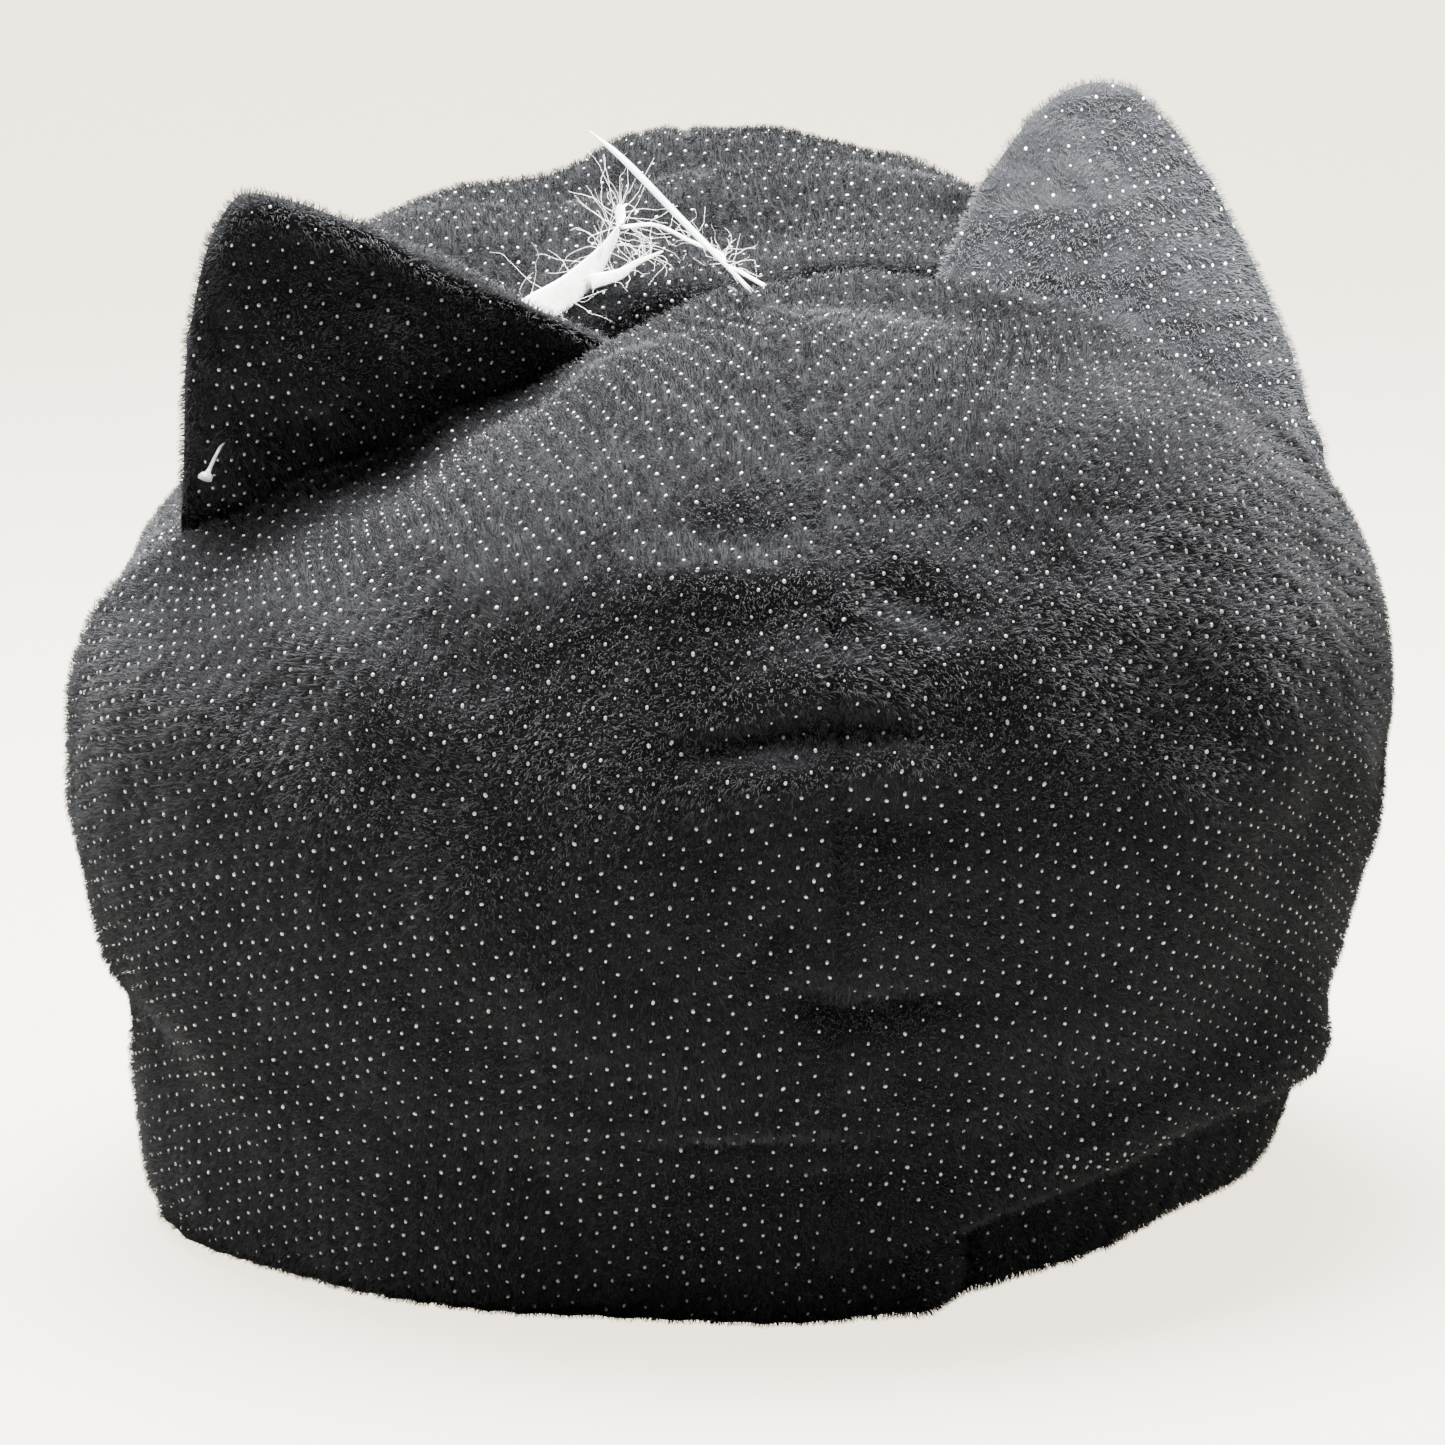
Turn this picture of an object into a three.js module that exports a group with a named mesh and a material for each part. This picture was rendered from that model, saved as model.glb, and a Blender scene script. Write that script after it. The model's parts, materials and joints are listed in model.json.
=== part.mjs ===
// A plush cat-ear helmet cover, standing on its elasticated hem as it does when it is taken off.
// Millimetres, +Z up, the brow faces -Y and +X is to the right of someone looking at the brow.
// The cover is a dome of four quarter panels. A seam runs over the crown from side to side, and each
// half of it holds one stuffed ear. Behind every panel lie wadding and a knitted lining, and a folded
// band with elastic inside it closes the lower edge.
import * as THREE from "three";
import { mergeVertices } from "three/addons/utils/BufferGeometryUtils.js";

// The dome
const HALF_WIDTH = 119; // at its widest level
const FRONT_REACH = 115; // from the crown seam's plane to the brow, at the widest level
const BACK_REACH = 130;
const CROWN_HEIGHT = 167;
const WIDEST_HEIGHT = 80;
const WIDEST_RISE = 0.3; // where the widest level falls on the way from the hem (0) to the crown (1)
const HEM_TUCK = 0.11; // how far the lower edge is drawn in, as a share of the radius
const SEAM_LEAN = 25; // how far the crown seam's top lies in front of its foot
const SIDE_SQUARENESS = 2.5; // exponent of the upper profile at the sides
const SQUARENESS_SPREAD = 0.45; // the brow is rounder by this much, and the back squarer
const BACK_SWELL = 29; // the crown behind the seam stands higher than the seam
const LEFT_SAG = 21; // the seam's left shoulder hangs lower than its right one
const SAG_FRONT_SPREAD = 0.8; // radians over which the sag fades towards the brow, and the back
const SAG_BACK_SPREAD = 0.5;
const TUCK_POWER = 1.7; // how each of these three is shared out over the height
const SWELL_POWER = 2.4;
const SAG_POWER = 1.6;

// The layers, from the outside in
const GAP = 0.6;
const PLUSH = 2.4;
const WADDING = 3;
const LINING = 0.8;
const WADDING_DEPTH = PLUSH + GAP;
const LINING_DEPTH = WADDING_DEPTH + WADDING + GAP;
const WALL = LINING_DEPTH + LINING;
const SEAM_THREAD_DEPTH = (PLUSH + LINING_DEPTH) / 2;
const THREAD_RADIUS = 0.5;
const SEAM_LOWEST = 0.02; // the rises between which the seams' threads run
const SEAM_HIGHEST = 0.955;

// The hem band
const BAND_HEIGHT = 14;
const BAND_PLY = 2.4;
const BAND_BEVEL = 1.2;
const BAND_DRAW = 0.02; // further draw-in of the band below the panels
const ELASTIC_THICKNESS = 1.2;
const ELASTIC_FOOT = 3.4;
const ELASTIC_HEIGHT = 7;
const HEM_THREAD_DROP = 2; // from the band's top to its row of stitches

// The ears
const EAR_CORNER = 2;
const EAR_EDGE = 2.6; // half thickness at the ear's edge
const EAR_SWELL = 8; // further half thickness at its fullest
const EAR_SIDE_POWER = 4; // how flat the swell is between the ear's sides
const EAR_RISE_POWER = 0.85; // below 1 the swell is fullest under the ear's middle
const EAR_CLOTH = 1.9;
const EAR_BASE_CLEARANCE = 2.3;
const EAR_PIVOT_DEPTH = 3.5; // the flop's axis lies this far under the base's highest point

// An ear's base runs along the crown seam from the rise `outer` to `inner`. Its edge is highest at
// `crest`, and falls from there with a power on each side. Lean turns the ear back, sway shifts its
// tip inwards and cup brings its side edges forward.
const EAR_POSTURES = {
  left: {
    side: -1,
    outer: 0.588,
    inner: 0.947,
    length: 57,
    crest: -0.116,
    outerPower: 1.59,
    innerPower: 1.4,
    lean: -2,
    sway: 9.5,
    cup: 6,
  },
  right: {
    side: 1,
    outer: 0.451,
    inner: 0.903,
    length: 39,
    crest: 0.29,
    outerPower: 1.15,
    innerPower: 2.5,
    lean: 24,
    sway: 19,
    cup: 2,
  },
};

// Mesh density
const ANGLE_STEPS = 12;
const RISE_STEPS = 20;
const RING_STEPS = 4 * ANGLE_STEPS;
const SEAM_STEPS = 16;
const EAR_COLUMNS = 12;
const EAR_ROWS = 9;

const COLOURS = {
  plush: new THREE.Color(0.022, 0.024, 0.028),
  band: new THREE.Color(0.018, 0.019, 0.022),
  lining: new THREE.Color(0.03, 0.03, 0.034),
  wadding: new THREE.Color(0.8, 0.8, 0.78),
  thread: new THREE.Color(0.02, 0.02, 0.022),
  elastic: new THREE.Color(0.75, 0.75, 0.72),
  nylon: new THREE.Color(0.86, 0.88, 0.86),
  ribbon: new THREE.Color(0.85, 0.86, 0.8),
};

const FRONT = 0;
const SIDE = Math.PI / 2;
const BACK = Math.PI;
const UP = new THREE.Vector3(0, 0, 1);

const cover = new THREE.Group();

function addPiece(name, geometry, finish, roughness = 0.9) {
  const material = new THREE.MeshStandardMaterial({ color: COLOURS[finish], roughness, metalness: 0 });
  const mesh = new THREE.Mesh(geometry, material);
  mesh.name = name;
  cover.add(mesh);
  return mesh;
}

// ---- The head form: every sewn layer follows it -------------------------------------------------

const smooth = (t) => t * t * (3 - 2 * t);

// The outer surface. angle is 0 at the brow and PI at the back, positive to the right.
function skin(angle, rise) {
  const reach = Math.cos(angle) > 0 ? FRONT_REACH : BACK_REACH;
  const exponent = 2 / (SIDE_SQUARENESS - SQUARENESS_SPREAD * Math.cos(angle));
  let spread;
  let height;
  if (rise < WIDEST_RISE) {
    const share = rise / WIDEST_RISE;
    spread = 1 - HEM_TUCK * Math.abs(1 - share) ** TUCK_POWER;
    height = THREE.MathUtils.lerp(BAND_HEIGHT + GAP, WIDEST_HEIGHT, share);
  } else {
    const climb = ((rise - WIDEST_RISE) / (1 - WIDEST_RISE)) * SIDE;
    spread = Math.max(Math.cos(climb), 0) ** exponent;
    height = WIDEST_HEIGHT + (CROWN_HEIGHT - WIDEST_HEIGHT) * Math.sin(climb) ** exponent;
    const swell = Math.sin(Math.PI * (climb / SIDE) ** SWELL_POWER);
    height += BACK_SWELL * Math.max(-Math.cos(angle), 0) * swell;
    const pastSeam = Math.atan2(Math.sin(angle), Math.cos(angle)) + SIDE;
    const nearness = Math.exp(-((pastSeam / (pastSeam < 0 ? SAG_BACK_SPREAD : SAG_FRONT_SPREAD)) ** 2));
    height -= LEFT_SAG * nearness * Math.sin(Math.PI * (climb / SIDE) ** SAG_POWER);
  }
  const middle = -SEAM_LEAN * smooth(Math.max(rise, 0));
  return new THREE.Vector3(
    HALF_WIDTH * spread * Math.sin(angle),
    middle - reach * spread * Math.cos(angle),
    height,
  );
}

function skinNormal(angle, rise) {
  const step = 1e-3;
  if (rise > 1 - step) return UP.clone();
  const across = skin(angle + step, rise).sub(skin(angle - step, rise));
  const upwards = skin(angle, rise + step).sub(skin(angle, rise - step));
  return across.cross(upwards).normalize();
}

// A point at the given depth under the outer surface; a negative depth stands proud of it.
function formPoint(angle, rise, depth = 0) {
  return skin(angle, rise).addScaledVector(skinNormal(angle, rise), -depth);
}

// ---- Geometry helpers ---------------------------------------------------------------------------

function signedVolume(position, index) {
  const [a, b, c] = [new THREE.Vector3(), new THREE.Vector3(), new THREE.Vector3()];
  let volume = 0;
  for (let i = 0; i < index.length; i += 3) {
    a.fromBufferAttribute(position, index[i]);
    b.fromBufferAttribute(position, index[i + 1]);
    c.fromBufferAttribute(position, index[i + 2]);
    volume += a.dot(b.cross(c)) / 6;
  }
  return volume;
}

// Merges shared corners, drops the triangles that a pointed end has closed up, and faces the rest out.
function closeUp(geometry) {
  geometry.deleteAttribute("normal");
  geometry.deleteAttribute("uv");
  const merged = mergeVertices(geometry, 1e-4);
  const position = merged.getAttribute("position");
  const kept = [];
  const corners = merged.index.array;
  for (let i = 0; i < corners.length; i += 3) {
    const [a, b, c] = corners.subarray(i, i + 3);
    if (a !== b && b !== c && c !== a) kept.push(a, b, c);
  }
  if (signedVolume(position, kept) < 0) kept.reverse();
  merged.setIndex(kept);
  merged.computeVertexNormals();
  return merged;
}

function mapVertices(geometry, place) {
  const position = geometry.getAttribute("position");
  for (let i = 0; i < position.count; i++) {
    const p = place(position.getX(i), position.getY(i), position.getZ(i));
    position.setXYZ(i, p.x, p.y, p.z);
  }
  return closeUp(geometry);
}

// A box bent to shape: place(u, v, w) gives a point of it, with u, v and w from 0 to 1.
function bentBox(place, uSteps, vSteps) {
  const box = new THREE.BoxGeometry(1, 1, 1, uSteps, vSteps, 1);
  return mapVertices(box, (x, y, z) => place(x + 0.5, y + 0.5, z + 0.5));
}

// A round thread along a curve.
function threadAlong(points, radius, steps) {
  const section = new THREE.Shape().absarc(0, 0, radius, 0, 2 * Math.PI);
  const path = new THREE.CatmullRomCurve3(points);
  const tube = new THREE.ExtrudeGeometry(section, { extrudePath: path, steps, curveSegments: 3 });
  return closeUp(tube);
}

// A strip along a list of stations { at, width, thickness }, each section square to `across`.
function strip(stations, across, steps) {
  const path = new THREE.CatmullRomCurve3(stations.map((s) => s.at));
  const last = stations.length - 1;
  return bentBox((u, v, w) => {
    const from = Math.min(Math.floor(v * last), last - 1);
    const share = v * last - from;
    const width = THREE.MathUtils.lerp(stations[from].width, stations[from + 1].width, share);
    const thickness = THREE.MathUtils.lerp(stations[from].thickness, stations[from + 1].thickness, share);
    const along = path.getTangent(v);
    const sideways = across.clone().addScaledVector(along, -across.dot(along)).normalize();
    const outwards = along.clone().cross(sideways);
    return path
      .getPoint(v)
      .addScaledVector(sideways, (u - 0.5) * width)
      .addScaledVector(outwards, (w - 0.5) * thickness);
  }, 1, steps);
}

// ---- The dome's layers --------------------------------------------------------------------------

// One layer of the dome between two angles, moved off the seams by shiftX and shiftY. All layers share
// one grid, so their facets stay parallel; a layer can stop `inset` cells short of the seams and the crown.
function formLayer({ from, to, steps = ANGLE_STEPS, inset = 0, depth, thickness, shiftX = 0, shiftY = 0 }) {
  const columns = steps - 2 * inset;
  const rows = RISE_STEPS - inset;
  return bentBox((u, v, w) => {
    const angle = THREE.MathUtils.lerp(from, to, (inset + u * columns) / steps);
    const rise = (v * rows) / RISE_STEPS;
    const point = formPoint(angle, rise, depth + w * thickness);
    return point.add(new THREE.Vector3(shiftX, shiftY, 0));
  }, columns, rows);
}

function addQuarterPanels() {
  for (const [sideName, side] of [["left", -1], ["right", 1]]) {
    for (const [endName, seam, end] of [["front", FRONT, -1], ["back", BACK, 1]]) {
      const from = Math.min(side * seam, side * SIDE);
      const to = Math.max(side * seam, side * SIDE);
      const sector = { from, to, shiftX: (side * GAP) / 2, shiftY: (end * GAP) / 2 };
      const shell = formLayer({ ...sector, depth: 0, thickness: PLUSH });
      const pad = formLayer({ ...sector, inset: 1, depth: WADDING_DEPTH, thickness: WADDING });
      addPiece(`${endName}_panel_${sideName}`, shell, "plush");
      addPiece(`${endName}_wadding_${sideName}`, pad, "wadding");
    }
  }
}

function addLining() {
  const layer = { depth: LINING_DEPTH, thickness: LINING, steps: 2 * ANGLE_STEPS };
  const front = formLayer({ ...layer, from: -SIDE, to: SIDE, shiftY: -GAP / 2 });
  const back = formLayer({ ...layer, from: SIDE, to: 3 * SIDE, shiftY: GAP / 2 });
  addPiece("lining_front", front, "lining");
  addPiece("lining_back", back, "lining");
}

function addSeamThreads() {
  const seams = {
    front_seam_thread: FRONT,
    back_seam_thread: BACK,
    side_seam_thread_left: -SIDE,
    side_seam_thread_right: SIDE,
  };
  for (const [name, angle] of Object.entries(seams)) {
    const points = [];
    for (let i = 0; i <= SEAM_STEPS; i++) {
      const rise = THREE.MathUtils.lerp(SEAM_LOWEST, SEAM_HIGHEST, i / SEAM_STEPS);
      points.push(formPoint(angle, rise, SEAM_THREAD_DEPTH));
    }
    addPiece(name, threadAlong(points, THREAD_RADIUS, SEAM_STEPS), "thread");
  }
}

// ---- The hem ------------------------------------------------------------------------------------

// A ring that follows the dome's foot. The profile holds [inset, height] pairs that close on themselves.
function hemRing(profile) {
  const ring = new THREE.LatheGeometry(
    profile.map(([inset, height]) => new THREE.Vector2(HALF_WIDTH - inset, height)),
    RING_STEPS,
  );
  return mapVertices(ring, (x, y, z) => {
    const angle = Math.atan2(x, z);
    const inset = HALF_WIDTH - Math.hypot(x, z);
    const foot = skin(angle, 0);
    const draw = 1 - BAND_DRAW * (1 - y / BAND_HEIGHT);
    const normal = skinNormal(angle, 0).setZ(0).normalize();
    return new THREE.Vector3(foot.x * draw, foot.y * draw, y).addScaledVector(normal, -inset);
  });
}

function addHem() {
  const inner = WALL - BAND_PLY;
  const band = [
    [0, BAND_HEIGHT],
    [0, BAND_BEVEL],
    [BAND_BEVEL, 0],
    [WALL - BAND_BEVEL, 0],
    [WALL, BAND_BEVEL],
    [WALL, BAND_HEIGHT],
    [inner, BAND_HEIGHT],
    [inner, BAND_PLY],
    [BAND_PLY, BAND_PLY],
    [BAND_PLY, BAND_HEIGHT],
    [0, BAND_HEIGHT],
  ];
  addPiece("hem_band", hemRing(band), "band");

  const middle = WALL / 2;
  const outer = middle - ELASTIC_THICKNESS / 2;
  const inside = middle + ELASTIC_THICKNESS / 2;
  const top = ELASTIC_FOOT + ELASTIC_HEIGHT;
  const elastic = [[outer, top], [outer, ELASTIC_FOOT], [inside, ELASTIC_FOOT], [inside, top], [outer, top]];
  addPiece("hem_elastic", hemRing(elastic), "elastic");

  const threadHeight = BAND_HEIGHT - HEM_THREAD_DROP;
  const sides = 6;
  const thread = [];
  for (let i = 0; i <= sides; i++) {
    const turn = (i % sides) * ((2 * Math.PI) / sides);
    thread.push([middle + THREAD_RADIUS * Math.cos(turn), threadHeight + THREAD_RADIUS * Math.sin(turn)]);
  }
  addPiece("hem_thread", hemRing(thread), "thread");
}

// ---- The ears -----------------------------------------------------------------------------------

// An ear's frame: the chord of its base, the way it points and its pivot.
function earFrame({ side, outer, inner, lean }) {
  const middleRise = (outer + inner) / 2;
  const chord = formPoint(side * SIDE, inner).sub(formPoint(side * SIDE, outer)).normalize();
  const turn = new THREE.Quaternion().setFromAxisAngle(chord, THREE.MathUtils.degToRad(side * lean));
  const outwards = skinNormal(side * SIDE, middleRise);
  const rise = outwards.addScaledVector(chord, -outwards.dot(chord)).normalize().applyQuaternion(turn);
  // Forward is the ear's face, so it stays on the brow's side for both ears.
  const forward = rise.clone().cross(chord).multiplyScalar(side);
  const pivot = formPoint(side * SIDE, middleRise, EAR_PIVOT_DEPTH);
  return { chord, rise, forward, pivot };
}

// The height of an ear's edge over its base.
function earReach({ length, crest, outerPower, innerPower }, across) {
  const fall =
    across > crest
      ? ((across - crest) / (1 - crest)) ** innerPower
      : ((crest - across) / (1 + crest)) ** outerPower;
  return EAR_CORNER + length * (1 - fall);
}

// A point of an ear. across runs from -1 at the outer corner to 1 at the inner one, up from 0 at the
// base to 1 at the edge, and offset is the distance in front of the ear's middle surface.
function earPoint(posture, frame, across, up, offset) {
  const baseRise = THREE.MathUtils.lerp(posture.outer, posture.inner, (across + 1) / 2);
  const length = up * earReach(posture, across);
  const climb = length / posture.length;
  return formPoint(posture.side * SIDE, baseRise, -EAR_BASE_CLEARANCE)
    .addScaledVector(frame.rise, length)
    .addScaledVector(frame.chord, posture.sway * climb)
    .addScaledVector(frame.forward, offset + posture.cup * across * across * up);
}

// Half the ear's thickness: thin where it is sewn and at its edge, fullest below the middle.
function earHalfThickness(across, up) {
  const swell = (1 - across ** EAR_SIDE_POWER) * Math.sin(Math.PI * up ** EAR_RISE_POWER);
  return EAR_EDGE + EAR_SWELL * Math.max(swell, 0);
}

// One layer of an ear between two offsets, each a function of the half thickness there. Like the dome's
// layers it can stop `inset` cells short of the edges.
function earLayer(posture, frame, near, far, inset = 0) {
  const columns = EAR_COLUMNS - 2 * inset;
  const rows = EAR_ROWS - 2 * inset;
  return bentBox((u, v, w) => {
    const across = (2 * (inset + u * columns)) / EAR_COLUMNS - 1;
    const up = (inset + v * rows) / EAR_ROWS;
    const half = earHalfThickness(across, up);
    return earPoint(posture, frame, across, up, THREE.MathUtils.lerp(near(half), far(half), w));
  }, columns, rows);
}

function addEar(name, posture) {
  const frame = earFrame(posture);
  const clothInside = (half) => half - EAR_CLOTH;
  const front = earLayer(posture, frame, clothInside, (half) => half);
  const back = earLayer(posture, frame, (half) => -half, (half) => EAR_CLOTH - half);
  const filling = earLayer(
    posture,
    frame,
    (half) => GAP - clothInside(half),
    (half) => clothInside(half) - GAP,
    1,
  );
  addPiece(`ear_front_${name}`, front, "plush");
  addPiece(`ear_back_${name}`, back, "plush");
  addPiece(`ear_filling_${name}`, filling, "wadding");
}

// ---- What is left of the tags -------------------------------------------------------------------

// A place on the crown, named by its distance right of and behind the crown point, and its height
// above the plush there.
function onCrown(right, behind, lift) {
  const angle = Math.atan2(right, -behind);
  let low = WIDEST_RISE;
  let high = 1;
  const wanted = Math.hypot(right, behind);
  for (let i = 0; i < 40; i++) {
    const middle = (low + high) / 2;
    const p = skin(angle, middle);
    if (Math.hypot(p.x, p.y + SEAM_LEAN) > wanted) low = middle;
    else high = middle;
  }
  return formPoint(angle, low, -lift);
}

// The cut swing-tag fastener in the left ear: a thin nylon shank that ends in a small paddle.
function addTagFastener() {
  const posture = EAR_POSTURES.left;
  const frame = earFrame(posture);
  const place = { across: -0.62, up: 0.47 };
  const clearance = 0.5;
  const surface = earHalfThickness(place.across, place.up) + clearance;
  const root = earPoint(posture, frame, place.across, place.up, surface);
  const hang = new THREE.Vector3(-0.55, -0.35, -0.8).normalize();
  const at = (distance) => root.clone().addScaledVector(hang, distance);
  const stations = [
    { at: at(0), width: 0.6, thickness: 0.6 },
    { at: at(2), width: 0.8, thickness: 0.8 },
    { at: at(4), width: 0.8, thickness: 0.8 },
    { at: at(6), width: 0.9, thickness: 0.9 },
    { at: at(8), width: 3.6, thickness: 1.1 },
    { at: at(9.2), width: 3.4, thickness: 1.1 },
  ];
  addPiece("tag_fastener", strip(stations, frame.chord, 20), "nylon", 0.3);
}

// The cut nylon loop in the crown seam: it stands up from the seam and ends in a flattened point.
function addTagLoop() {
  const root = onCrown(8.5, 2, 1.2);
  const tip = new THREE.Vector3(-33, 12, 34);
  const stations = [
    [0, 1.6, 0.6],
    [0.25, 1.2, 0.6],
    [0.5, 1.4, 0.6],
    [0.75, 1.9, 0.7],
    [1, 0.5, 0.4],
  ].map(([share, width, thickness]) => ({ at: root.clone().addScaledVector(tip, share), width, thickness }));
  addPiece("tag_loop", strip(stations, new THREE.Vector3(0.7, 0, 0.7), 8), "nylon", 0.3);
}

// The stump of a woven ribbon label by the left ear, and the yarn that has come loose from it.
function addRibbonStump() {
  const stations = [
    [onCrown(-35, 13, 2.8), 6],
    [onCrown(-30, 13.5, 3.2), 6.4],
    [onCrown(-25, 14, 4), 6],
    [onCrown(-21, 15, 6), 4.6],
    [onCrown(-18.5, 16.5, 10), 2.6],
  ].map(([at, width]) => ({ at, width, thickness: 0.7 }));
  addPiece("ribbon_stump", strip(stations, new THREE.Vector3(0.35, 1, 0), 10), "ribbon");

  const yarnRadius = 0.5;
  const lift = 2.2;
  const route = [
    onCrown(-14, 16, lift),
    onCrown(-10, 15.7, lift),
    onCrown(-6.5, 15, lift),
    onCrown(-2, 13, lift),
    onCrown(-1, 10, lift),
    onCrown(1.5, 8.7, lift),
    onCrown(5, 5.6, lift),
  ];
  addPiece("loose_yarn", threadAlong(route, yarnRadius, 20), "ribbon");
}

addQuarterPanels();
addLining();
addSeamThreads();
addHem();
for (const [name, posture] of Object.entries(EAR_POSTURES)) addEar(name, posture);
addTagFastener();
addTagLoop();
addRibbonStump();

// The frame's origin is the middle of the footprint, on the surface that the cover stands on.
const bounds = new THREE.Box3().setFromObject(cover, true);
const middle = bounds.getCenter(new THREE.Vector3());
for (const piece of cover.children) piece.position.set(-middle.x, -middle.y, -bounds.min.z);

export default cover;
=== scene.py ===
"""A plush cat-ear helmet cover, standing on its hem: the looks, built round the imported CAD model.

Lengths in this script are millimetres until a mesh is made. An angle goes round the dome from the
brow (0) to the back (pi), positive to the right, and a rise goes from the hem (0) to the crown (1).
"""

import json

import bpy
import numpy as np
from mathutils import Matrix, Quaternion, Vector
from mathutils.kdtree import KDTree

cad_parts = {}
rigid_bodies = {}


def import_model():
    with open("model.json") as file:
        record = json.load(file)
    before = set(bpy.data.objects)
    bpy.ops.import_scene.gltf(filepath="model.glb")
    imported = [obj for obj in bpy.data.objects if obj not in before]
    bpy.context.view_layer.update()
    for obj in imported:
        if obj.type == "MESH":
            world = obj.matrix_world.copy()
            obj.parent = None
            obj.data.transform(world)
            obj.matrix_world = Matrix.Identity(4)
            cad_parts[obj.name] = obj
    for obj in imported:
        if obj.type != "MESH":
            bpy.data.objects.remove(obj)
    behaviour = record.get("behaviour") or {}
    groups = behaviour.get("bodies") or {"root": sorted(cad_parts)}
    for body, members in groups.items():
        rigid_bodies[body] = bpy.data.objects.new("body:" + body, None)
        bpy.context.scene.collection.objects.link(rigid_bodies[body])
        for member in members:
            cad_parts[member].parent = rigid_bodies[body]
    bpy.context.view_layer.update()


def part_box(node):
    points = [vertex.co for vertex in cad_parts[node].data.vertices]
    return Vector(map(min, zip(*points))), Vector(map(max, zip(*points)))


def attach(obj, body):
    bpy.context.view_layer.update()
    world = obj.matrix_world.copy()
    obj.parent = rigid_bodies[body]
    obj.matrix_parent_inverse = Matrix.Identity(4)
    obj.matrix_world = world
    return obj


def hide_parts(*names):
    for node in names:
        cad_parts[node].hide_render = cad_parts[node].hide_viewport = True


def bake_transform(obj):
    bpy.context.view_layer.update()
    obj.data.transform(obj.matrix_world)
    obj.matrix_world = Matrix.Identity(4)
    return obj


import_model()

MM = 0.001


def node_box(name):
    low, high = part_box(name)
    return np.array(low) / MM, np.array(high) / MM


# ---- Driving dimensions --------------------------------------------------------------------------

FRONT_LOW, FRONT_HIGH = node_box("front_panel_left")

# The head form that the CAD panels follow.
HALF_WIDTH = -FRONT_LOW[0]
SEAM_FOOT_Y = FRONT_HIGH[1] + 0.3  # half of the gap in the side seams
PANEL_FOOT = FRONT_LOW[2]
SEAM_TOP = FRONT_HIGH[2]
FRONT_REACH = 115
BACK_REACH = 130
WIDEST_HEIGHT = 80
WIDEST_RISE = 0.3
HEM_TUCK = 0.11
SEAM_LEAN = 25
SIDE_SQUARENESS = 2.5
SQUARENESS_SPREAD = 0.45
BACK_SWELL = 29
LEFT_SAG = 21  # the seam's left shoulder hangs lower than the right one
SAG_FRONT_SPREAD = 0.8
SAG_BACK_SPREAD = 0.5
TUCK_POWER = 1.7
SWELL_POWER = 2.4
SAG_POWER = 1.6

# The layers' depths under the outside.
PLUSH = 2.4
WADDING_TOP, WADDING_FOOT = 3.0, 6.0
LINING_TOP, LINING_FOOT = 6.6, 7.4
THREAD_RADIUS = 0.45
SEAM_DEPTH = 3.6  # of the threads of the seams under the plush
SEAM_END = 0.955  # the rise at which those threads end

# The plush
DOT_SPACING = 3.55
DOT_RADIUS = 0.31
DOT_HEIGHT = 0.28
DOT_LIFT = 0.12
DOT_JITTER = 0.3
PILE_LENGTH = 1.5
PILE_RADIUS = 0.05
PILE_DENSITY = 5.0  # fibres per square millimetre
NAP_WAVELENGTH = 34  # of the swirls in the direction that the pile is brushed
PITCH = 1.3  # of the panels' meshes
PAD_END = 13  # the pads stop this many rows short of the crown, where they would meet

SIDE = np.pi / 2


# ---- Small tools ---------------------------------------------------------------------------------


def smoothstep(x, low, high):
    t = np.clip((x - low) / (high - low), 0, 1)
    return t * t * (3 - 2 * t)


def hump(distance, width):
    return np.exp(-((distance / width) ** 2))


def unit(v):
    return v / np.maximum(np.linalg.norm(v, axis=-1, keepdims=True), 1e-9)


def ripple(p, wavelength, seed, waves=8):
    """Soft random hills of about unit height: a sum of waves that run in random directions."""
    rng = np.random.default_rng(seed)
    total = 0
    for _ in range(waves):
        direction = unit(rng.normal(size=3)) * rng.uniform(0.7, 1.4)
        total = total + np.sin(p @ direction * 2 * np.pi / wavelength + rng.uniform(0, 2 * np.pi))
    return total / np.sqrt(waves / 2)


def stroke(p, start, end, width, height):
    """A long soft hill (or a dent, if height is negative) on the brow, from start to end in x and z."""
    start, end = np.array(start, float), np.array(end, float)
    length = np.linalg.norm(end - start)
    along = (end - start) / length
    q = np.stack([p[..., 0], p[..., 2]], axis=-1) - (start + end) / 2
    beside = q @ np.array([-along[1], along[0]])
    return height * hump(q @ along, 0.6 * length) * hump(beside, width)


# ---- The dome ------------------------------------------------------------------------------------


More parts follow.
